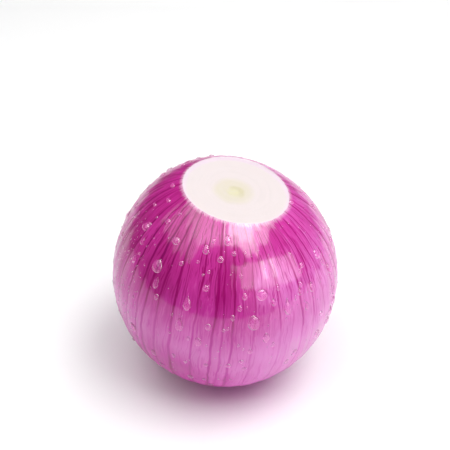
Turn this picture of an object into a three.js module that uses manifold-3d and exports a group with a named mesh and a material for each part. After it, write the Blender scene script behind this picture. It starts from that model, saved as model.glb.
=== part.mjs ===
// A peeled red onion, topped and tailed: one solid bulb with a flat cut face on top, a small flat spot to
// stand on where the root was trimmed, and low ribs between the veins that run from root to neck.
// Millimetres, +Z up. The origin is the middle of the bulb's foot, on the surface that it stands on.
import * as THREE from "three";
import { ParametricGeometry } from "three/addons/geometries/ParametricGeometry.js";
import { mergeVertices } from "three/addons/utils/BufferGeometryUtils.js";
import Module from "manifold-3d";

// Driving dimensions
const BULB_RADIUS = 38; // at the widest ring
const POLE_REACH = 40.3; // from the widest ring to either pole, before trimming
const CUT_RADIUS = 17; // of the white face where the neck was cut off
const FOOT_RADIUS = 9; // of the flat spot where the root was trimmed
const LEAN = THREE.MathUtils.degToRad(5.5); // of the bulb's own axis, towards +X
const CUT_TILT = THREE.MathUtils.degToRad(9.5); // of the cut face, towards +X
const NECK_OFFSET = 3.1; // by which the neck's pole stands off the axis, towards -X
const NECK_SHARPNESS = 3; // how closely that offset keeps to the top

// Veins and the ribs between them. Angles go round the axis from +X towards +Y, in degrees.
const FRONT_VEINS = [
  211.7, 219.1, 225.3, 232.8, 240.7, 253.6, 263.3, 266.8, 272.5, 283.6, 296.2, 310, 318.7, 326.9,
];
const HIND_VEINS = 24; // spread from the last of the front veins on to the first
const STRAY_REACH = 2; // by which a hind vein may leave its even place, in degrees
const STRAY_STEP = 2.4; // makes the strays of neighbouring veins unlike
const SWAY_REACH = 1; // by which a vein sways on its way up, in degrees
const SWAY_LEVEL = 0.55; // latitude at which every vein is in its place, in radians
const SWAY_PACE = 2.6; // of the sway, in radians for each radian of latitude
const SWAY_STEP = 4.3; // makes the sways of neighbouring veins unlike
const VEIN_DEPTH = 0.2; // of the groove along a vein, at the widest ring, less beside a narrow rib

// Low swells that keep the bulb from being a turned form
const SWELLS = [
  { share: 0.006, lobes: 2, turn: 0.7 },
  { share: 0.004, lobes: 3, turn: 2.1 },
];

// Fineness of the faceted skin
const RIB_COLUMNS = 4;
const RINGS = 32;

const sectionShare = (radius) => Math.sqrt(1 - (radius / BULB_RADIUS) ** 2);
const LEANING_REACH = Math.hypot(BULB_RADIUS * Math.sin(LEAN), POLE_REACH * Math.cos(LEAN));
const CENTRE_HEIGHT = LEANING_REACH * sectionShare(FOOT_RADIUS); // of the widest ring, above the foot
const CUT_HEIGHT = POLE_REACH * sectionShare(CUT_RADIUS); // above the widest ring, along the axis

const wasm = await Module();
wasm.setup();

// Every vein's place round the axis: the front ones as given, then the hind ones on to a full turn.
function veinPlaces() {
  const last = FRONT_VEINS[FRONT_VEINS.length - 1];
  const step = (FRONT_VEINS[0] + 360 - last) / (HIND_VEINS + 1);
  const hind = Array.from({ length: HIND_VEINS }, (_, n) => {
    return last + step * (n + 1) + STRAY_REACH * Math.sin(STRAY_STEP * n * n);
  });
  return [...FRONT_VEINS, ...hind];
}
const VEIN_PLACES = veinPlaces();
const VEINS = VEIN_PLACES.length;
const EVEN_WIDTH = (2 * Math.PI) / VEINS;

function veinAngle(vein, latitude) {
  const turns = Math.floor(vein / VEINS);
  const own = vein - turns * VEINS;
  const sway = SWAY_REACH * Math.sin(SWAY_STEP * own) * Math.sin(SWAY_PACE * (latitude - SWAY_LEVEL));
  return THREE.MathUtils.degToRad(360 * turns + VEIN_PLACES[own] + sway);
}

function ribWidth(vein) {
  return veinAngle(vein + 1, SWAY_LEVEL) - veinAngle(vein, SWAY_LEVEL);
}

// A groove is shallower beside a rib that is narrower than even ones would be, so that no rib is steep.
function grooveDepth(vein) {
  const narrower = Math.min(ribWidth(vein - 1), ribWidth(vein));
  return VEIN_DEPTH * Math.min(1, narrower / EVEN_WIDTH);
}

// A point of the untrimmed skin. Columns follow the veins, so a groove always has vertices along it.
function skinPoint(around, upward, target) {
  const latitude = Math.PI * (upward - 0.5);
  const vein = Math.floor(around * VEINS);
  const between = around * VEINS - vein;
  const angle = THREE.MathUtils.lerp(veinAngle(vein, latitude), veinAngle(vein + 1, latitude), between);
  const groove = grooveDepth(Math.round(around * VEINS)) * Math.cos(Math.PI * between) ** 2;
  const swell = SWELLS.reduce((sum, s) => sum + s.share * Math.cos(s.lobes * angle + s.turn), 1);
  const radius = (BULB_RADIUS * swell - groove) * Math.cos(latitude);
  const aside = NECK_OFFSET * Math.max(0, Math.sin(latitude)) ** NECK_SHARPNESS;
  target.set(radius * Math.cos(angle) - aside, radius * Math.sin(angle), POLE_REACH * Math.sin(latitude));
}

function toSolid(geometry) {
  const bare = geometry.clone();
  bare.deleteAttribute("normal");
  bare.deleteAttribute("uv");
  const merged = mergeVertices(bare);
  return new wasm.Manifold(
    new wasm.Mesh({
      numProp: 3,
      vertProperties: merged.attributes.position.array,
      triVerts: new Uint32Array(merged.index.array),
    }),
  );
}

function toGeometry(solid) {
  const { vertProperties, triVerts } = solid.getMesh();
  const geometry = new THREE.BufferGeometry();
  geometry.setAttribute("position", new THREE.BufferAttribute(vertProperties, 3));
  geometry.setIndex(new THREE.BufferAttribute(triVerts, 1));
  geometry.computeVertexNormals();
  return geometry;
}

// What a knife takes away: a block with one face on the plane of the cut, through the given point.
function trimming(tilt, through) {
  const side = 4 * BULB_RADIUS;
  const block = new THREE.BoxGeometry(side, side, side);
  return block.translate(0, 0, side / 2).rotateY(tilt).translate(...through);
}

function makeBulb() {
  const grown = new ParametricGeometry(skinPoint, VEINS * RIB_COLUMNS, RINGS);
  grown.rotateY(LEAN).translate(0, 0, CENTRE_HEIGHT);
  const cutMiddle = [
    CUT_HEIGHT * Math.sin(LEAN),
    0,
    CENTRE_HEIGHT + CUT_HEIGHT * Math.cos(LEAN),
  ];
  const neck = trimming(CUT_TILT, cutMiddle);
  const root = trimming(Math.PI, [0, 0, 0]);
  const trimmed = toSolid(grown).subtract(toSolid(neck)).subtract(toSolid(root));
  const flesh = new THREE.MeshStandardMaterial({ color: 0xb83486, roughness: 0.25, metalness: 0 });
  const bulb = new THREE.Mesh(toGeometry(trimmed), flesh);
  bulb.name = "bulb";
  return bulb;
}

const onion = new THREE.Group();
onion.add(makeBulb());

export default onion;
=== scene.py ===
"""A peeled red onion, topped, tailed and wet, on a pale floor in soft studio light.

The bulb repeats the formula of its solid at a finer grain, in metres. Its skin, cut face and root end each have a
finish of their own, and beads of water sit on the skin.
"""

import math
import random
from typing import NamedTuple

import bmesh
import bpy
from bpy.props import FloatProperty, FloatVectorProperty, IntProperty, PointerProperty
from mathutils import Matrix, Vector
from mathutils.bvhtree import BVHTree


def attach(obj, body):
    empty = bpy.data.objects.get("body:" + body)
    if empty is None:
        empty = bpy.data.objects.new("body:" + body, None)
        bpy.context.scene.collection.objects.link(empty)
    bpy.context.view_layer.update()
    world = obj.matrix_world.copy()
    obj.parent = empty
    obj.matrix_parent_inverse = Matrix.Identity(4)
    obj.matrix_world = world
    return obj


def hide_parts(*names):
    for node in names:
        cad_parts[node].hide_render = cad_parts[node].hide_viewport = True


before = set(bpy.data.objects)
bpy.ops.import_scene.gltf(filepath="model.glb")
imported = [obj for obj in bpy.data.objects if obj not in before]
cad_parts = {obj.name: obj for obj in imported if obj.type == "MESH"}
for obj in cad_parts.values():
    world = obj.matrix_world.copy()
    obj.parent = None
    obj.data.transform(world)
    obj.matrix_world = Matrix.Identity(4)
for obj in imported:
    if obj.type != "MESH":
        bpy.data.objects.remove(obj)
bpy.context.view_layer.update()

bl_info = {
    "name": "Peeled Red Onion",
    "version": (1, 0, 0),
    "blender": (4, 5, 0),
    "location": "View3D > Sidebar > Onion",
    "description": "Makes a wet, peeled red onion with its neck cut off, and a plain studio stage for it",
    "category": "Object",
}

MM = 0.001
BULB_NAME = "peeled_bulb"
BEADS_NAME = "water_beads"

UP = Vector((0, 0, 1))

# The picture and the camera
PICTURE_SIDE = 450  # pixels
SENSOR_WIDTH = 36.0  # millimetres
CLIP_START = 0.01

# The stage
FLOOR_SEGMENTS = 96
FLOOR_MOTTLE = 0.97  # of its darker patches, as a share of its own shade
BACKDROP = 0.97  # brightness of the surround as the camera sees it

# Veins at the front: degrees round the axis, boldness, and how dark the rib after it is, each 0 to 1
FRONT_VEINS = (
    (211.7, 0.8, 0.5),
    (219.1, 0.9, 0.6),
    (225.3, 1.0, 0.7),
    (232.8, 0.8, 0.6),
    (240.7, 1.0, 0.5),
    (253.6, 0.8, 0.55),
    (263.3, 1.0, 0.9),
    (266.8, 0.6, 0.85),
    (272.5, 0.9, 0.45),
    (283.6, 0.5, 0.15),
    (296.2, 0.55, 0.15),
    (310.0, 0.7, 0.3),
    (318.7, 0.5, 0.2),
    (326.9, 0.45, 0.2),
)

# The dark line of a vein, in millimetres: how far its kinks may go in all, and half the width of its darkest part
VEIN_KINK = 1.6
VEIN_CORE = 0.04

# The other veins: their least boldness and least tone of the rib after it, and how much more they may have
HIND_BOLDNESS = (0.35, 0.6)
HIND_TONE = (0.2, 0.6)

# How the other veins stray from even places, how all of them sway, and swells of the bulb, as its solid has them
STRAY_REACH = 2
STRAY_STEP = 2.4
SWAY_REACH = 1
SWAY_LEVEL = 0.55
SWAY_PACE = 2.6
SWAY_STEP = 4.3
NECK_SHARPNESS = 3
SWELLS = ((0.006, 2, 0.7), (0.004, 3, 2.1))

# Sides of the bulb: one made darker, and one at the lower right made lighter, which is painted light
DARKER_SIDE = (-0.6, -0.3, 0.5)
PAINTED_LIGHT_SIDE = (0.7, -0.5, -0.5)

# The cut face: middles of its yellow layers and of its shoot, as shares of its radius, the side of the shoot that
# its sheath shows on, and where its layers meet, as shares of the way out
HEART_MIDDLE = (0.0, -0.07)
SHOOT_MIDDLE = (0.05, -0.1)
SHEATH_SIDE = (0.8, 0.6, 0)
LAYER_EDGES = (0.0, 0.14, 0.27, 0.42, 0.58, 0.76, 0.93, 1.0)
LAYER_FULLNESS = 0.7  # how quickly a layer rises from its edges, less being quicker

# Fineness of the skin: shares of a rib's width, the last of them just short of the next vein
RIB_COLUMNS = (0, 0.04, 0.1, 0.2, 0.3, 0.4, 0.5, 0.6, 0.7, 0.8, 0.9, 0.96, 0.999)
FOOT_ROWS = 6
SKIN_ROWS = 140
RIM_ROWS = 4
CUT_ROWS = 36
TRIM_STEPS = 30
RIM_GRAIN = 1.03  # of the radius of the cut, where its rim begins
MERGE_REACH = 0.001 * MM

# Order of the bulb's finishes
SKIN, CUT, ROOT = range(3)

# Beads of water: heights are shares of half a bead's width, and a pair is the least and the most
BEAD_SINK = 0.22  # how deep a bead sits in the skin, as a share of its height
BEAD_GAP = 1.5  # from a scattered bead to any other, at least, over their half-widths together
BEAD_FINENESS = ((1.2 * MM, 4), (0.6 * MM, 3), (0, 2))  # a half-width, and the subdivisions of wider beads
PLACED_HEIGHT = (0.5, 0.7)
SMALL_HEIGHT = (0.55, 0.8)
PLACED_GROWTH = 1.1  # their thin edges don't show, so they are made wider than they look
PLACED_REACH = math.radians(95)  # the turn up to which large beads are placed one by one
SCATTER_RISE = (-0.8, 0.84)  # the sine of it
SCATTER_TAPER = (-0.8, 0.7)  # below 0 is none
FRONT_BIAS = 8  # how far small beads outnumber large ones
HIND_BIAS = 2.5
DEW_GROWTH = (0.8, 2.0)  # over the smallest bead
POINT_SHARPNESS = 1.2  # of a drawn-out uphill end
POINT_REACH = 0.5  # by which that end grows longer
BLUNT_REACH = 0.3  # by which the other end grows shorter
OUTSIDE = 0.1  # metres from the middle, where the search for the skin starts
# The side that light comes from, in a bead's own terms: its edge there gets painted shade, and the edge opposite
# gets a painted glow.
LIT_SIDE = (0.4, 0.9, 0)  # across, uphill and out
BODY_STAIN = (1, 0.26, 0.74, 1)  # from the skin below
# The painted glow at a bead's lower edge, standing in for light gathered through the water.
PAINTED_EDGE_GLOW = (1, 0.62, 0.92, 1)

# Patches of fine dew: turns from the front to the right and rises, in degrees, and the number of beads
DEW_PATCHES = (
    ((-92, -50), (-12, 50), 260),
    ((62, 95), (-28, 38), 150),
)

# Large beads: turn from the front to the right and rise above the middle, in degrees, half the width in
# millimetres, length over width, and how far the uphill end is drawn to a point
PLACED_BEADS = (
    (-42.9, 36.3, 1.85, 1.14, 0.35),
    (-40.2, 28.5, 1.05, 1.73, 0.5),
    (-37.9, 22.6, 0.81, 1.25, 0),
    (-37.9, 51.2, 1.30, 0.98, 0),
    (-67.6, 46.4, 1.56, 0.86, 0.2),
    (-66.4, 48.6, 1.04, 0.93, 0),
    (-53.6, 56.4, 1.00, 0.89, 0),
    (-61.9, 40.9, 0.85, 1.49, 0.3),
    (-61.0, 31.6, 0.85, 2.17, 0.4),
    (-20.1, 24.4, 1.28, 1.72, 0.65),
    (-23.1, 12.3, 1.33, 1.68, 0.45),
    (-8.5, 14.7, 1.01, 1.16, 0),
    (-13.4, 5.0, 1.11, 1.48, 0),
    (-10.8, 34.2, 1.06, 1.01, 0),
    (1.9, 56.2, 1.04, 1.52, 0.2),
    (-13.9, 51.4, 1.04, 1.40, 0.3),
    (-3.1, 47.8, 1.04, 1.00, 0.1),
    (10.5, 30.2, 0.80, 1.44, 0.2),
    (19.9, 29.6, 1.76, 1.02, 0),
    (25.5, 24.3, 0.77, 1.63, 0.3),
    (32.8, 18.5, 1.3, 2.0, 0.75),
    (14.2, 16.0, 1.88, 1.30, 0.1),
    (3.7, 20.1, 0.74, 1.45, 0),
    (7.4, 24.7, 0.75, 1.28, 0),
    (-0.9, 13.4, 0.56, 1.18, 0),
    (1.1, 14.4, 0.56, 1.29, 0),
    (19.9, 6.3, 1.12, 1.56, 0.2),
    (43.6, 26.8, 0.95, 1.01, 0),
    (42.0, 23.5, 1.02, 1.20, 0.2),
    (50.2, 21.5, 1.13, 1.44, 0.3),
    (49.0, 34.6, 0.97, 0.99, 0),
    (46.5, 32.6, 0.82, 1.05, 0),
    (63.6, 32.5, 1.32, 1.26, 0.2),
    (44.1, 14.2, 0.88, 1.73, 0.4),
    (29.6, 30.7, 0.56, 1.78, 0),
    (-28.3, 42.8, 0.75, 1.11, 0),
    (9.3, 40.1, 0.56, 1.20, 0),
    (6.3, 4.1, 0.50, 1.37, 0),
    (9.4, -14.1, 0.79, 1.14, 0),
    (-19.8, -27.6, 1.07, 1.15, 0),
    (-11.9, -26.9, 0.67, 1.30, 0),
    (-37.2, -25.5, 1.12, 1.18, 0),
    (-26.5, -9.4, 0.67, 1.56, 0),
    (-20.4, -11.9, 0.54, 1.58, 0),
    (-53.0, -5.6, 1.41, 1.27, 0),
    (-39.6, -15.6, 1.06, 1.54, 0),
    (64.6, -3.8, 1.50, 1.27, 0),
    (62.3, -8.5, 1.23, 1.22, 0),
    (52.1, -9.5, 1.33, 1.31, 0),
    (69.1, 6.3, 1.14, 1.32, 0),
    (68.7, -0.1, 1.23, 1.17, 0),
    (33.2, -18.0, 0.84, 1.56, 0),
    (-141.6, 60.3, 1.07, 1.55, 0),
    (-133.7, 61.5, 0.80, 1.36, 0),
    (-96.5, 41.5, 1.24, 0.92, 0),
    (-49.0, 62.2, 0.70, 0.85, 0),
    (-89.7, 65.9, 1.12, 0.69, 0),
    (-78.4, 55.3, 0.91, 0.68, 0),
    (-71.3, 62.3, 1.06, 0.69, 0),
    (-18.0, 45.5, 0.50, 1.08, 0),
    (-10.0, 41.9, 0.50, 1.29, 0),
    (-13.4, 40.1, 0.46, 1.01, 0),
    (68.9, 19.9, 1.05, 1.68, 0.3),
    (88.0, 23.7, 1.00, 1.04, 0),
    (64.9, 27.0, 0.79, 1.31, 0),
    (38.5, 21.9, 0.55, 1.41, 0),
    (-27.4, 17.0, 0.48, 1.28, 0),
    (14.3, 50.1, 0.50, 0.98, 0),
    (-9.0, 55.9, 0.62, 1.30, 0),
)


def paint(red, green, blue):
    """A screen colour, 0 to 255, as the linear one that shaders take."""
    return tuple(
        c / 12.92 if c <= 0.04045 else ((c + 0.055) / 1.055) ** 2.4
        for c in (red / 255, green / 255, blue / 255)
    )


def size(name, description, default):
    return FloatProperty(name=name, description=description, default=default, unit="LENGTH", precision=5)


def angle(name, description, degrees):
    return FloatProperty(name=name, description=description, default=math.radians(degrees), subtype="ANGLE")


def colour(name, description, *screen):
    return FloatVectorProperty(
        name=name, description=description, default=paint(*screen), subtype="COLOR", min=0, max=1
    )


def brightness(name, description, default):
    """A light's own brightness, where a well lit white floor has about 1."""
    return FloatProperty(name=name, description=description, default=default, min=0)


class OnionBulbSettings(bpy.types.PropertyGroup):
    """Sizes of the bulb"""

    radius: size("Radius", "At the widest ring", 38 * MM)
    pole_reach: size("Pole Reach", "From the widest ring to either pole, before trimming", 40.3 * MM)
    cut_radius: size("Cut Radius", "Of the white face where the neck was cut off", 17 * MM)
    foot_radius: size("Foot Radius", "Of the flat spot that it stands on", 9 * MM)
    lean: angle("Lean", "Of the bulb's own axis", 5.5)
    cut_tilt: angle("Cut Tilt", "Of the cut face", 9.5)
    neck_offset: size("Neck Offset", "By which the neck's pole stands off the axis", 3.1 * MM)
    hind_veins: IntProperty(name="Hind Veins", description="Veins behind those at the front", default=24, min=1)
    vein_depth: size("Vein Depth", "Of the groove along a vein", 0.2 * MM)
    rim_round: size("Rim Round", "Of the edge of the cut", 0.3 * MM)
    scale_step: size("Scale Step", "Between the layers on the cut face", 0.05 * MM)


class OnionFinishSettings(bpy.types.PropertyGroup):
    """Colours of the bulb"""

    deep: colour("Deep Skin", "Where the pigment is thickest, and along the veins", 150, 3, 100)
    vein: colour("Vein", "Of the boldest veins, where the pigment is thickest", 112, 0, 84)
    full: colour("Full Skin", "Of most of the skin", 196, 48, 149)
    plum: colour("Plum Skin", "As deep, on the bluer side of the bulb", 156, 6, 116)
    lilac: colour("Lilac Skin", "As full, on the bluer side of the bulb", 204, 54, 175)
    light: colour("Light Skin", "Where the pigment is thin", 230, 124, 207)
    pale: colour("Pale Skin", "Where the pigment runs out", 224, 180, 207)
    flesh: colour("Flesh", "Of the cut layers", 211, 201, 201)
    grey_flesh: colour("Grey Flesh", "Of the glassier parts of the cut", 202, 194, 193)
    flesh_edge: colour("Flesh Edge", "Of the outermost layer on the cut", 214, 198, 209)
    heart: colour("Heart", "Of the yellow layers round the middle", 206, 198, 184)
    shoot: colour("Shoot", "Of the young shoot in the middle", 206, 201, 168)
    sheath: colour("Sheath", "Of the thin layer round the shoot", 196, 189, 160)
    root: colour("Root", "Of the trimmed root", 226, 208, 176)


class OnionWaterSettings(bpy.types.PropertyGroup):
    """Beads of water on the skin"""

    beads: IntProperty(name="Beads", description="Small beads scattered over the skin", default=420, min=0)
    smallest: size("Smallest", "Half the width of the smallest bead", 0.22 * MM)
    largest: size("Largest", "Half the width of the largest scattered bead", 1.4 * MM)
    seed: IntProperty(name="Seed", description="Of the scatter", default=7)


class OnionStageSettings(bpy.types.PropertyGroup):
    """Floor, light and camera"""

    floor: colour("Floor", "Of the plain floor", 249, 249, 249)
    floor_radius: size("Floor Radius", "Of the round floor", 0.34)
    overhead: brightness("Overhead", "Of the wide box overhead", 1.6)
    overhead_core: brightness("Overhead Core", "Of the brighter part of the box overhead", 4.4)
    overhead_lamp: brightness("Overhead Lamp", "Of the lamp in the box overhead", 4.4)
    window: brightness("Window", "Of the box at the front right", 2.5)
    window_core: brightness("Window Core", "Of the strip in the box at the front right", 5.5)
    front: brightness("Front", "Of the box low at the front right", 0.45)
    left: brightness("Left", "Of the box high at the left", 1.25)
    fill: brightness("Fill", "Of the light from all round", 0.075)
    lens: FloatProperty(name="Lens", description="Focal length, in millimetres", default=86.7)
    view_pitch: angle("View Pitch", "By which the camera looks down", 40)
    view_distance: size("View Distance", "From the camera to the middle of the bulb", 0.37)
    view_height: size("View Height", "Of the point that the camera is set by", 39.2 * MM)
    view_x: FloatProperty(name="View X", description="Picture column of that point", default=225.3)
    view_y: FloatProperty(name="View Y", description="Picture row of that point", default=271.5)


class OnionSettings(bpy.types.PropertyGroup):
    """All that a user would change"""

    bulb: PointerProperty(type=OnionBulbSettings)
    finish: PointerProperty(type=OnionFinishSettings)
    water: PointerProperty(type=OnionWaterSettings)
    stage: PointerProperty(type=OnionStageSettings)


class Vein(NamedTuple):
    """One vein from root to neck."""

    place: float  # degrees round the axis
    boldness: float
    rib_tone: float  # how dark the rib after it is


def own_share(number, salt, least, more):
    """A value that looks drawn by chance, the same each time for a number and a salt."""
    share = math.sin(number * 12.9898 + salt * 78.233) * 43758.5453 % 1
    return least + more * share


def all_veins(hind_count):
    """The front veins, then the others on to a full turn."""
    front = [Vein(*each) for each in FRONT_VEINS]
    last = front[-1].place
    step = (front[0].place + 360 - last) / (hind_count + 1)
    hind = [
        Vein(
            last + step * (n + 1) + STRAY_REACH * math.sin(STRAY_STEP * n * n),
            own_share(n, 1, *HIND_BOLDNESS),
            own_share(n, 3, *HIND_TONE),
        )
        for n in range(hind_count)
    ]
    return front + hind


class Column(NamedTuple):
    """One line of the skin from root to neck."""

    rib: int
    between: float  # 0 on the rib's own vein, 1 on the next
    foot_latitude: float
    cut_latitude: float


class BulbForm:
    """The bulb's shape by formula, as its solid has it."""

    def __init__(self, sizes):
        self.radius = sizes.radius
        self.pole_reach = sizes.pole_reach
        self.neck_offset = sizes.neck_offset
        self.veins = all_veins(sizes.hind_veins)
        self.vein_depth = sizes.vein_depth
        self.rim_round = sizes.rim_round
        self.scale_step = sizes.scale_step
        leaning_reach = math.hypot(
            self.radius * math.sin(sizes.lean), self.pole_reach * math.cos(sizes.lean)
        )
        centre_height = leaning_reach * self.section_share(sizes.foot_radius)
        self.placing = Matrix.Translation((0, 0, centre_height)) @ Matrix.Rotation(sizes.lean, 4, "Y")
        self.cut_middle = self.placing @ Vector((0, 0, self.pole_reach * self.section_share(sizes.cut_radius)))
        self.cut_normal = Vector((math.sin(sizes.cut_tilt), 0, math.cos(sizes.cut_tilt)))
        self.columns = [
            self.column(rib, between) for rib in range(len(self.veins)) for between in RIB_COLUMNS
        ]
        edge = [self.skin_point(c, c.cut_latitude) for c in self.columns]
        self.cut_heart = sum(edge, Vector()) / len(edge)

    def section_share(self, radius):
        return math.sqrt(1 - (radius / self.radius) ** 2)

    def vein_angle(self, vein, latitude):
        turns, own = divmod(vein, len(self.veins))
        sway = SWAY_REACH * math.sin(SWAY_STEP * own) * math.sin(SWAY_PACE * (latitude - SWAY_LEVEL))
        return math.radians(360 * turns + self.veins[own].place + sway)

    def column(self, rib, between):
        free = Column(rib, between, 0, 0)
        return free._replace(
            foot_latitude=self.trim_latitude(free, Vector(), Vector((0, 0, -1)), -math.pi / 2),
            cut_latitude=self.trim_latitude(free, self.cut_middle, self.cut_normal, math.pi / 2),
        )

    def turn(self, column, latitude):
        """The angle of a column round the axis at a latitude."""
        start = self.vein_angle(column.rib, latitude)
        return start + column.between * (self.vein_angle(column.rib + 1, latitude) - start)

    def vein_note(self, column, latitude, following):
        """For the skin's finish: millimetres past a column's own vein or the following one, its boldness and
        its number.
        """
        vein = column.rib + following
        pitch = self.vein_angle(column.rib + 1, latitude) - self.vein_angle(column.rib, latitude)
        past = (column.between - following) * pitch * self.radius * math.cos(latitude) / MM
        number = vein % len(self.veins)
        return Vector((past, self.veins[number].boldness, number))

    def trim_latitude(self, column, through, normal, pole):
        """Where a column meets the plane of a cut, between the widest ring and that pole."""
        kept, gone = 0.0, pole
        for _ in range(TRIM_STEPS):
            middle = (kept + gone) / 2
            if (self.skin_point(column, middle) - through).dot(normal) > 0:
                gone = middle
            else:
                kept = middle
        return kept

    def rib_width(self, vein):
        return self.vein_angle(vein + 1, SWAY_LEVEL) - self.vein_angle(vein, SWAY_LEVEL)

    def groove_depth(self, vein):
        """Shallower beside a rib that is narrower than even ones would be."""
        narrower = min(self.rib_width(vein - 1), self.rib_width(vein))
        return self.vein_depth * min(1, narrower * len(self.veins) / math.tau)

    def skin_point(self, column, latitude):
        turn = self.turn(column, latitude)
        nearer = column.rib + round(column.between)
        groove = self.groove_depth(nearer) * math.cos(math.pi * column.between) ** 2
        swell = 1 + sum(share * math.cos(lobes * turn + start) for share, lobes, start in SWELLS)
        radius = (self.radius * swell - groove) * math.cos(latitude)
        aside = self.neck_offset * max(0, math.sin(latitude)) ** NECK_SHARPNESS
        return self.placing @ Vector(
            (radius * math.cos(turn) - aside, radius * math.sin(turn), self.pole_reach * math.sin(latitude))
        )

    def skin_latitude(self, column, share):
        """From the foot to where the rim begins to round over."""
        top = column.cut_latitude - self.rim_round / self.pole_reach
        return column.foot_latitude + share * (top - column.foot_latitude)

    def foot_point(self, column, share):
        return self.skin_point(column, column.foot_latitude) * share

    def cut_edge(self, column):
        corner = self.skin_point(column, column.cut_latitude)
        inward = (self.cut_heart - corner).normalized()
        return corner, corner + inward * self.rim_round

    def rim_point(self, column, share):
        corner, inner = self.cut_edge(column)
        outer = self.skin_point(column, self.skin_latitude(column, 1))
        return outer.lerp(corner, share).lerp(corner.lerp(inner, share), share)

    def cut_point(self, column, share):
        inner = self.cut_edge(column)[1]
        step = self.scale_step * self.scale_relief(1 - share)
        return inner.lerp(self.cut_heart, share) + self.cut_normal * step

    def scale_relief(self, out):
        """How low the cut face lies, from -1 between layers to 0, at a share of the way out from the heart."""
        for low, high in zip(LAYER_EDGES, LAYER_EDGES[1:]):
            if out <= high:
                return math.sin(math.pi * (out - low) / (high - low)) ** LAYER_FULLNESS - 1
        return -1


def bulb_rows():
    """Every row of the bulb from the foot's middle to the heart of the cut, as a stretch and a share of it."""
    stretches = (("foot", FOOT_ROWS), ("skin", SKIN_ROWS), ("rim", RIM_ROWS), ("cut", CUT_ROWS))
    rows = [("foot", 0.0)]
    for stretch, count in stretches:
        rows += [(stretch, (step + 1) / count) for step in range(count)]
    return rows


def rolled_grid(row_count, column_count):
    """A flat grid to be rolled up: x counts the columns, the first of them twice, and y the rows."""
    made = bmesh.new()
    bmesh.ops.create_grid(made, x_segments=column_count, y_segments=row_count - 1, size=0.5)
    stretch = Vector((column_count, row_count - 1, 1))
    bmesh.ops.translate(made, vec=(0.5, 0.5, 0), verts=made.verts)
    bmesh.ops.scale(made, vec=stretch, verts=made.verts)
    return made


def shape_bulb(form):
    rows = bulb_rows()
    made = rolled_grid(len(rows), len(form.columns))
    grain = made.verts.layers.float_vector.new("grain")
    own_vein = made.verts.layers.float_vector.new("own_vein")
    next_vein = made.verts.layers.float_vector.new("next_vein")
    tone = made.verts.layers.float.new("tone")
    rim_gap = made.verts.layers.float.new("rim_gap")
    finish_of = {"foot": ROOT, "skin": SKIN, "rim": CUT, "cut": CUT}
    for face in made.faces:
        face.smooth = True
        face.material_index = finish_of[rows[round(max(v.co.y for v in face.verts))][0]]
    for vert in made.verts:
        stretch, share = rows[round(vert.co.y)]
        column = form.columns[round(vert.co.x) % len(form.columns)]
        latitude = form.skin_latitude(column, share if stretch == "skin" else float(stretch != "foot"))
        turn = form.turn(column, latitude)
        round_axis = Vector((math.cos(turn), math.sin(turn), 0))
        vert[tone] = form.veins[column.rib].rib_tone
        if stretch == "foot":
            vert.co = form.foot_point(column, share)
            vert[grain] = round_axis * share
        elif stretch == "skin":
            vert.co = form.skin_point(column, latitude)
            vert[grain] = round_axis + Vector((0, 0, latitude))
            vert[own_vein] = form.vein_note(column, latitude, 0)
            vert[next_vein] = form.vein_note(column, latitude, 1)
            vert[rim_gap] = (column.cut_latitude - latitude) * form.pole_reach / MM
        elif stretch == "rim":
            vert.co = form.rim_point(column, share)
            vert[grain] = round_axis * (RIM_GRAIN + (1 - RIM_GRAIN) * share)
        else:
            vert.co = form.cut_point(column, share)
            vert[grain] = round_axis * (1 - share)
    bmesh.ops.remove_doubles(made, verts=made.verts, dist=MERGE_REACH)
    bmesh.ops.recalc_face_normals(made, faces=made.faces)
    return made


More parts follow.
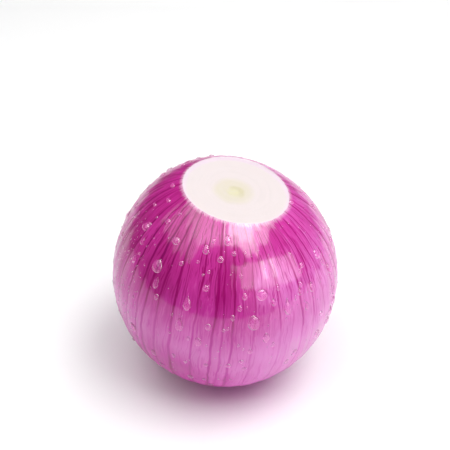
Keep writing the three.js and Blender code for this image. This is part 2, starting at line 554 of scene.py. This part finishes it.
class Recipe:
    """The nodes of one material: each call adds a node and gives back one of its outputs."""

    def __init__(self, name):
        self.material = bpy.data.materials.new(name)
        self.material.use_nodes = True
        self.tree = self.material.node_tree
        self.tree.nodes.clear()

    def node(self, kind, inputs=None, output=0, **settings):
        made = self.tree.nodes.new("ShaderNode" + kind)
        for key, value in settings.items():
            setattr(made, key, value)
        for key, value in (inputs or {}).items():
            if isinstance(value, bpy.types.NodeSocket):
                self.tree.links.new(value, made.inputs[key])
            else:
                made.inputs[key].default_value = value
        return made.outputs[output]

    def attribute(self, name, output="Fac"):
        return self.node("Attribute", attribute_name=name, output=output)

    def math(self, operation, *values):
        return self.node("Math", dict(enumerate(values)), operation=operation)

    def times(self, first, *others):
        total = first
        for value in others:
            total = self.math("MULTIPLY", total, value)
        return total

    def weighted(self, start, *pairs):
        """A start value plus each value times its weight."""
        total = start
        for value, weight in pairs:
            total = self.math("MULTIPLY_ADD", value, weight, total)
        return total

    def smooth(self, value, low, high, at_low=0.0, at_high=1.0):
        """Goes smoothly from one value at low to another at high, which may be the lesser of the two."""
        places = {"Value": value, "From Min": low, "From Max": high, "To Min": at_low, "To Max": at_high}
        return self.node("MapRange", places, interpolation_type="SMOOTHSTEP")

    def along(self, vector, axis):
        return self.node("SeparateXYZ", {"Vector": vector}, output=axis)

    def facing(self, vector, side):
        """How far a vector points to a side."""
        return self.node("VectorMath", {0: vector, 1: side}, output="Value", operation="DOT_PRODUCT")

    def stretched(self, vector, scale):
        return self.node("Mapping", {"Vector": vector, "Scale": scale})

    def noise(self, vector, scale=1.0, detail=2.0, roughness=0.5):
        wanted = {"Vector": vector, "Scale": scale, "Detail": detail, "Roughness": roughness}
        return self.node("TexNoise", wanted)

    def ramp(self, factor, *stops):
        colours = self.node("ValToRGB", {"Fac": factor})
        elements = colours.node.color_ramp.elements
        while len(elements) < len(stops):
            elements.new(1.0)
        for element, (position, shade) in zip(elements, stops):
            element.position = position
            element.color = (*shade, 1)
        return colours

    def mixed(self, factor, first, second):
        return self.node("Mix", {0: factor, 6: first, 7: second}, output=2, data_type="RGBA")

    def bump(self, height, distance, strength=1.0):
        return self.node("Bump", {"Height": height, "Distance": distance, "Strength": strength})

    def surface(self, **inputs):
        spelled = {key.replace("_", " "): value for key, value in inputs.items()}
        shader = self.node("BsdfPrincipled", spelled)
        out = self.tree.nodes.new("ShaderNodeOutputMaterial")
        self.tree.links.new(shader, out.inputs["Surface"])
        return self.material


def vein_line(recipe, name, latitude):
    """The dark line of a vein: thin, kinked, and broken here and there."""
    note = recipe.attribute(name, "Vector")
    past, boldness, number = (recipe.along(note, axis) for axis in "XYZ")
    course = recipe.node("CombineXYZ", {"X": number, "Y": recipe.times(latitude, 5.0)})
    chance = recipe.node("TexNoise", {"Vector": course, "Scale": 0.8, "Detail": 2.0}, output="Color")
    kink, spread, strength = (
        recipe.node("SeparateColor", {"Color": chance}, output=channel) for channel in ("Red", "Green", "Blue")
    )
    aside = recipe.math("ABSOLUTE", recipe.weighted(past, (recipe.math("SUBTRACT", kink, 0.5), VEIN_KINK)))
    half_width = recipe.times(
        recipe.weighted(0.25, (spread, 0.7)),
        recipe.weighted(0.35, (boldness, 0.65)),
        recipe.smooth(latitude, 0.4, -0.3, 1.0, 1.4),
        recipe.smooth(latitude, 0.6, 1.0, 1.0, 0.6),
    )
    line = recipe.smooth(aside, half_width, VEIN_CORE)
    return recipe.times(line, boldness, recipe.weighted(0.35, (strength, 1.2)))


def wet_skin(colours):
    """Glossy skin: its grain holds the turn round the axis, and the latitude in radians as the third part."""
    recipe = Recipe("wet_onion_skin")
    straight = recipe.attribute("grain", "Vector")
    latitude = recipe.along(straight, "Z")
    drift = recipe.node("TexNoise", {"Vector": straight, "Scale": 3.0, "Detail": 2.0}, output="Color")
    grain = recipe.node("VectorMath", {0: drift, 1: (0.09, 0.09, 0), 2: straight}, operation="MULTIPLY_ADD")
    own_line = vein_line(recipe, "own_vein", latitude)
    next_line = vein_line(recipe, "next_vein", latitude)
    low_fade = recipe.smooth(latitude, 0.1, 0.5, 0.5, 1.0)
    faded = recipe.times(low_fade, recipe.smooth(latitude, 1.15, 0.9, 0.8, 1.0))
    vein = recipe.times(recipe.math("MAXIMUM", own_line, next_line), faded)
    fibres = recipe.noise(recipe.stretched(grain, (26, 26, 2.4)), detail=4, roughness=0.65)
    threads = recipe.noise(recipe.stretched(grain, (74, 74, 1.6)), detail=2)
    flecks = recipe.noise(recipe.stretched(grain, (110, 110, 6)), detail=2)
    patches = recipe.noise(grain, scale=2.2, detail=2)
    # The skin is darker towards the upper left back, and its veins there are darker too.
    darker_side_facing = recipe.facing(grain, DARKER_SIDE)
    # Painted light: the lower right side of the skin is made lighter, as if better lit.
    painted_light_facing = recipe.facing(grain, PAINTED_LIGHT_SIDE)
    belt = recipe.times(recipe.smooth(latitude, 0.15, 0.5), recipe.smooth(latitude, 0.95, 0.65))
    toned = recipe.times(recipe.math("SUBTRACT", recipe.attribute("tone"), 0.5), belt)
    streaked = recipe.smooth(latitude, -0.1, 0.5, 0.3, 1.0)
    body = recipe.weighted(
        0.33,
        (recipe.math("SUBTRACT", fibres, 0.5), recipe.times(streaked, 0.44)),
        (patches, 0.4),
        (toned, 0.36),
        (recipe.smooth(threads, 0.54, 0.66), recipe.smooth(latitude, 0.2, 1.0, 0.1, 0.5)),
        (recipe.smooth(flecks, 0.52, 0.7), recipe.times(streaked, -0.1)),
        (darker_side_facing, 0.18),
        (recipe.smooth(painted_light_facing, 0.4, 1.0), -0.18),
        (vein, 0.58),
    )
    ragged = recipe.weighted(-1.2, (fibres, 3.4), (flecks, 2.6))
    covered = recipe.smooth(recipe.attribute("rim_gap"), -0.2, ragged)
    ticks = recipe.weighted(0.0, (vein, 0.7), (recipe.smooth(threads, 0.5, 0.6), 0.7))
    kept = recipe.math("MAXIMUM", covered, ticks)
    # Painted shade: more pigment towards the bottom, which darkens the underside where it lies in shade.
    painted_underside_shade = recipe.smooth(latitude, 0.0, -0.45, 0.0, 0.75)
    thinning_and_painted_underside_shade = recipe.math("ADD", recipe.smooth(latitude, -0.5, 0.45, 0.44, 1.0), painted_underside_shade)
    # So the pigment here also carries the painted light at the lower right and the painted shade of the
    # underside.
    pigment = recipe.times(body, thinning_and_painted_underside_shade)
    thin_end = ((0.0, colours.pale), (0.28, colours.light))
    redder = recipe.ramp(pigment, *thin_end, (0.58, colours.full), (1.0, colours.deep))
    bluer = recipe.ramp(pigment, *thin_end, (0.58, colours.lilac), (1.0, colours.plum))
    grown = recipe.mixed(recipe.smooth(latitude, 0.6, -0.1, 0.0, 0.7), redder, bluer)
    inked = recipe.times(vein, recipe.smooth(darker_side_facing, 0.7, 1.0, 0.0, 0.7))
    veined = recipe.mixed(inked, grown, (*colours.vein, 1))
    skin = recipe.mixed(kept, (*colours.pale, 1), veined)
    relief = recipe.weighted(0.0, (fibres, 0.6), (threads, 0.4))
    glossy = recipe.smooth(latitude, -0.6, 0.05, 0.35, 1.0)
    shiny = recipe.weighted(0.6, (vein, -0.25), (recipe.smooth(toned, 0.2, 0.4), -0.55))
    return recipe.surface(
        Base_Color=skin,
        Roughness=recipe.weighted(0.2, (flecks, 0.3)),
        Specular_IOR_Level=0.12,
        Subsurface_Weight=0.12,
        Subsurface_Radius=(1.0, 0.25, 0.6),
        Subsurface_Scale=0.6 * MM,
        Coat_Weight=recipe.times(glossy, shiny),
        Coat_Roughness=0.11,
        Coat_IOR=1.8,
        Normal=recipe.bump(relief, 0.12 * MM),
    )


def cut_flesh(colours):
    """Pale layers round a yellow heart: its grain goes from 0 in the middle to 1 at the rim."""
    recipe = Recipe("cut_onion_flesh")
    grain = recipe.attribute("grain", "Vector")
    wobble = recipe.noise(grain, scale=2.5, detail=3)
    swerve = recipe.weighted(-0.05, (wobble, 0.1))

    def out_from(x, y):
        moved = recipe.node("VectorMath", {0: grain, 1: (-x, -y, 0)}, operation="ADD")
        reach = recipe.node("VectorMath", {0: moved}, output="Value", operation="LENGTH")
        return recipe.math("ADD", reach, swerve)

    layers = recipe.ramp(
        out_from(*HEART_MIDDLE),
        (0.0, colours.heart),
        (0.3, colours.heart),
        (0.44, colours.flesh),
        (0.94, colours.flesh),
        (1.0, colours.flesh_edge),
    )
    from_shoot = out_from(*SHOOT_MIDDLE)
    young = recipe.mixed(recipe.smooth(from_shoot, 0.08, 0.2), (*colours.shoot, 1), layers)
    sheath_side = recipe.facing(grain, SHEATH_SIDE)
    sheath = recipe.times(
        recipe.smooth(from_shoot, 0.06, 0.12),
        recipe.smooth(from_shoot, 0.22, 0.14),
        recipe.smooth(sheath_side, -0.08, 0.1),
    )
    ringed = recipe.mixed(sheath, young, (*colours.sheath, 1))
    from_middle = recipe.node("CombineXYZ", {"X": recipe.times(out_from(0, 0), 16.0)})
    rings = recipe.weighted(0.0, (recipe.noise(from_middle, detail=1), 0.6), (wobble, 0.6))
    tint = recipe.mixed(recipe.smooth(rings, 0.55, 0.8, 0.0, 0.3), ringed, (*colours.grey_flesh, 1))
    pith = recipe.noise(recipe.stretched(grain, (30, 30, 1)), detail=3)
    return recipe.surface(
        Base_Color=tint,
        Roughness=recipe.weighted(0.3, (pith, 0.25)),
        IOR=1.36,
        Subsurface_Weight=0.4,
        Subsurface_Radius=(1.0, 0.9, 0.8),
        Subsurface_Scale=1.5 * MM,
        Normal=recipe.bump(pith, 0.06 * MM),
    )


def root_end(colours):
    recipe = Recipe("trimmed_root")
    grain = recipe.attribute("grain", "Vector")
    pith = recipe.noise(recipe.stretched(grain, (9, 9, 1)), detail=4, roughness=0.7)
    tint = recipe.ramp(pith, (0.3, colours.root), (0.7, colours.flesh))
    return recipe.surface(
        Base_Color=tint, Roughness=recipe.weighted(0.5, (pith, 0.3)), Normal=recipe.bump(pith, 0.3 * MM)
    )


def clear_water(tint):
    """Water with painted light: a painted glow at its lower edge, and painted shade in the tint given at its
    upper edge.
    """
    recipe = Recipe("clear_water")
    dome = recipe.attribute("dome", "Vector")
    lit = recipe.facing(dome, LIT_SIDE)
    edge = recipe.smooth(recipe.along(dome, "Z"), 0.85, 0.4)
    # Painted shade on the edge towards the light, and a painted glow on the edge away from it.
    painted_shade_edge = recipe.times(edge, recipe.smooth(lit, -0.2, 0.7))
    painted_glow_edge = recipe.times(edge, recipe.smooth(lit, 0.0, -0.7))
    body_and_painted_shade = recipe.mixed(painted_shade_edge, BODY_STAIN, (*tint, 1))
    return recipe.surface(
        Base_Color=recipe.mixed(painted_glow_edge, body_and_painted_shade, PAINTED_EDGE_GLOW),
        Roughness=recipe.weighted(0.01, (edge, 0.03)),
        IOR=1.33,
        Alpha=recipe.weighted(0.24, (painted_shade_edge, 0.25), (painted_glow_edge, 0.3)),
        Coat_Weight=1.0,
        Coat_IOR=2.4,
        Coat_Roughness=0.02,
    )


def pale_floor(shade):
    recipe = Recipe("pale_floor")
    place = recipe.node("TexCoord", output="Object")
    cloud = recipe.noise(place, scale=6, detail=2)
    darker = tuple(FLOOR_MOTTLE * c for c in shade)
    return recipe.surface(
        Base_Color=recipe.ramp(cloud, (0.3, darker), (0.7, shade)),
        Roughness=recipe.weighted(0.5, (cloud, 0.2)),
    )


def add_object(name, made, *materials):
    mesh = bpy.data.meshes.new(name)
    made.to_mesh(mesh)
    made.free()
    for material in materials:
        mesh.materials.append(material)
    piece = bpy.data.objects.new(name, mesh)
    bpy.context.scene.collection.objects.link(piece)
    return piece


class Bead(NamedTuple):
    """One bead of water on the skin."""

    spot: Vector
    normal: Vector
    half_width: float
    length: float  # over its width
    taper: float  # how far the uphill end is drawn to a point
    height: float  # over half its width


def shape_bead(bead):
    """A low dome sunk into the skin."""
    fineness = next(level for width, level in BEAD_FINENESS if bead.half_width > width)
    drop = bmesh.new()
    dome = drop.verts.layers.float_vector.new("dome")
    bmesh.ops.create_icosphere(drop, subdivisions=fineness, radius=1)
    for vert in drop.verts:
        vert[dome] = vert.co
        up = max(0, vert.co.y)
        narrowed = 1 - bead.taper * up**POINT_SHARPNESS
        vert.co.x *= narrowed
        vert.co.z *= narrowed
        vert.co.y *= 1 + POINT_REACH * bead.taper if up else 1 - BLUNT_REACH * bead.taper
    for face in drop.faces:
        face.smooth = True
    uphill = (UP - bead.normal * bead.normal.z).normalized()
    across = uphill.cross(bead.normal)
    turned = Matrix((across, uphill, bead.normal)).transposed().to_4x4()
    tall = bead.half_width * bead.height
    grown = Matrix.Diagonal((bead.half_width, bead.half_width * bead.length, tall, 1))
    sunk = Matrix.Translation(bead.spot - bead.normal * tall * BEAD_SINK)
    bmesh.ops.transform(drop, matrix=sunk @ turned @ grown, verts=drop.verts)
    return drop


def outward(turn, rise):
    """A direction by its turn from the front to the right and its rise."""
    return Vector((math.cos(rise) * math.sin(turn), -math.cos(rise) * math.cos(turn), math.sin(rise)))


def outward_degrees(turn, rise):
    return outward(math.radians(turn), math.radians(rise))


def all_beads(skin, middle, water):
    """The placed beads, then small ones scattered clear of them, then fine dew."""
    draw = random.Random(water.seed)
    beads = []

    def landed(direction):
        spot, normal, _, _ = skin.ray_cast(middle + direction * OUTSIDE, -direction)
        return spot, normal

    def clear(spot, half_width):
        return all((spot - b.spot).length >= BEAD_GAP * (half_width + b.half_width) for b in beads)

    for turn, rise, half_width, length, taper in PLACED_BEADS:
        spot, normal = landed(outward_degrees(turn, rise))
        height = draw.uniform(*PLACED_HEIGHT)
        beads.append(Bead(spot, normal, PLACED_GROWTH * half_width * MM, length, taper, height))
    while len(beads) < len(PLACED_BEADS) + water.beads:
        turn = draw.uniform(-math.pi, math.pi)
        spot, normal = landed(outward(turn, math.asin(draw.uniform(*SCATTER_RISE))))
        grown = draw.random() ** (HIND_BIAS if abs(turn) > PLACED_REACH else FRONT_BIAS)
        half_width = water.smallest + (water.largest - water.smallest) * grown
        if clear(spot, half_width):
            taper = max(0, draw.uniform(*SCATTER_TAPER))
            beads.append(Bead(spot, normal, half_width, 1 + taper, taper, draw.uniform(*SMALL_HEIGHT)))
    for turns, rises, count in DEW_PATCHES:
        for _ in range(count):
            spot, normal = landed(outward_degrees(draw.uniform(*turns), draw.uniform(*rises)))
            half_width = water.smallest * draw.uniform(*DEW_GROWTH)
            if clear(spot, half_width):
                beads.append(Bead(spot, normal, half_width, 1, 0, draw.uniform(*SMALL_HEIGHT)))
    return beads


class ONION_OT_add_bulb(bpy.types.Operator):
    """Add the peeled bulb with its cut face and trimmed root"""

    bl_idname = "onion.add_bulb"
    bl_label = "Add Peeled Bulb"

    def execute(self, context):
        settings = context.scene.onion
        made = shape_bulb(BulbForm(settings.bulb))
        finish = settings.finish
        piece = add_object(BULB_NAME, made, wet_skin(finish), cut_flesh(finish), root_end(finish))
        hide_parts("bulb")
        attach(piece, "root")
        return {"FINISHED"}


class ONION_OT_add_beads(bpy.types.Operator):
    """Add the beads of water on the bulb's skin"""

    bl_idname = "onion.add_beads"
    bl_label = "Add Beads of Water"

    def execute(self, context):
        settings = context.scene.onion
        skin = BVHTree.FromObject(bpy.data.objects[BULB_NAME], context.evaluated_depsgraph_get())
        middle = Vector((0, 0, settings.stage.view_height))
        made = bmesh.new()
        made.verts.layers.float_vector.new("dome")
        scratch = bpy.data.meshes.new("bead")
        for bead in all_beads(skin, middle, settings.water):
            drop = shape_bead(bead)
            drop.to_mesh(scratch)
            drop.free()
            made.from_mesh(scratch)
        bpy.data.meshes.remove(scratch)
        # The deep skin colour is the painted shade at a bead's upper edge.
        piece = add_object(BEADS_NAME, made, clear_water(settings.finish.deep))
        piece.visible_shadow = False
        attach(piece, "root")
        return {"FINISHED"}


class LightBox(NamedTuple):
    """One soft box of the stage."""

    name: str
    setting: str  # of the stage, which holds its brightness
    direction: Vector  # from the middle of the bulb
    distance: float
    sides: tuple
    roll: float = 0.0
    mirrored_only: bool = False  # shows in the gloss and lights nothing else


WINDOW_ROLL = math.radians(-15)
LIGHT_BOXES = (
    LightBox("overhead_box", "overhead", UP, 0.72, (0.9, 0.9)),
    LightBox("overhead_core", "overhead_core", outward_degrees(74, 64), 0.7, (0.64, 0.44)),
    LightBox("overhead_lamp", "overhead_lamp", outward_degrees(62, 66), 0.68, (0.3, 0.22), mirrored_only=True),
    LightBox("window_box", "window", outward_degrees(47, 25), 0.8, (1.0, 0.34), WINDOW_ROLL, True),
    LightBox("front_box", "front", outward_degrees(38, 8), 0.8, (0.7, 0.4)),
    LightBox("left_box", "left", outward_degrees(-75, 58), 0.75, (0.7, 0.7)),
    LightBox("window_core", "window_core", outward_degrees(47, 29), 0.78, (0.16, 0.22), WINDOW_ROLL, True),
)


def add_light(box, aim, brightness):
    light = bpy.data.lights.new(box.name, "AREA")
    light.shape = "RECTANGLE"
    light.size, light.size_y = box.sides
    light.energy = brightness * math.pi * light.size * light.size_y
    hung = bpy.data.objects.new(box.name, light)
    hung.location = aim + box.direction * box.distance
    faced = (-box.direction).to_track_quat("-Z", "Y").to_matrix()
    hung.rotation_euler = (faced @ Matrix.Rotation(box.roll, 3, "Z")).to_euler()
    hung.visible_camera = False
    hung.visible_diffuse = not box.mirrored_only
    bpy.context.scene.collection.objects.link(hung)


def soft_surround(strength):
    """A white surround: weak as light, bright as a backdrop."""
    world = bpy.data.worlds.new("soft_surround")
    world.use_nodes = True
    tree = world.node_tree
    background = tree.nodes["Background"]
    rays = tree.nodes.new("ShaderNodeLightPath")
    shown = tree.nodes.new("ShaderNodeMapRange")
    shown.inputs["To Min"].default_value = strength
    shown.inputs["To Max"].default_value = BACKDROP
    tree.links.new(rays.outputs["Is Camera Ray"], shown.inputs["Value"])
    tree.links.new(shown.outputs[0], background.inputs["Strength"])
    background.inputs["Color"].default_value = (1, 1, 1, 1)
    bpy.context.scene.world = world


def picture_ray(stage, x, y):
    """The direction from the camera through a pixel of the picture."""
    focal = stage.lens / SENSOR_WIDTH * PICTURE_SIDE
    middle = PICTURE_SIDE / 2
    seen = Vector(((x - middle) / focal, (middle - y) / focal, -1))
    return (Matrix.Rotation(math.pi / 2 - stage.view_pitch, 3, "X") @ seen).normalized()


def camera_place(stage):
    aim = Vector((0, 0, stage.view_height))
    return aim - picture_ray(stage, stage.view_x, stage.view_y) * stage.view_distance


class ONION_OT_set_stage(bpy.types.Operator):
    """Set the pale floor, the soft light and the camera"""

    bl_idname = "onion.set_stage"
    bl_label = "Set the Stage"

    def execute(self, context):
        stage = context.scene.onion.stage
        made = bmesh.new()
        bmesh.ops.create_circle(made, cap_ends=True, segments=FLOOR_SEGMENTS, radius=stage.floor_radius)
        floor = add_object("floor", made, pale_floor(stage.floor))
        aim = Vector((0, 0, stage.view_height))
        for box in LIGHT_BOXES:
            add_light(box, aim, getattr(stage, box.setting))
        soft_surround(stage.fill)
        camera = bpy.data.objects.new("camera", bpy.data.cameras.new("camera"))
        camera.data.lens = stage.lens
        camera.data.sensor_width = SENSOR_WIDTH
        camera.data.clip_start = CLIP_START
        camera.location = camera_place(stage)
        camera.rotation_euler = (math.pi / 2 - stage.view_pitch, 0, 0)
        context.scene.collection.objects.link(camera)
        context.scene.camera = camera
        context.scene.view_settings.view_transform = "Standard"
        return {"FINISHED"}


class ONION_PT_panel(bpy.types.Panel):
    """Makes the onion piece by piece"""

    bl_idname = "ONION_PT_panel"
    bl_label = "Peeled Red Onion"
    bl_space_type = "VIEW_3D"
    bl_region_type = "UI"
    bl_category = "Onion"

    def draw(self, context):
        for operator in OPERATORS:
            self.layout.operator(operator.bl_idname)


OPERATORS = (ONION_OT_set_stage, ONION_OT_add_bulb, ONION_OT_add_beads)
CLASSES = (
    OnionBulbSettings,
    OnionFinishSettings,
    OnionWaterSettings,
    OnionStageSettings,
    OnionSettings,
    *OPERATORS,
    ONION_PT_panel,
)


def register():
    for each in CLASSES:
        bpy.utils.register_class(each)
    bpy.types.Scene.onion = PointerProperty(type=OnionSettings)


def unregister():
    del bpy.types.Scene.onion
    for each in reversed(CLASSES):
        bpy.utils.unregister_class(each)


def main():
    register()
    bpy.ops.onion.set_stage()
    bpy.ops.onion.add_bulb()
    bpy.ops.onion.add_beads()


if __name__ == "__main__":
    main()
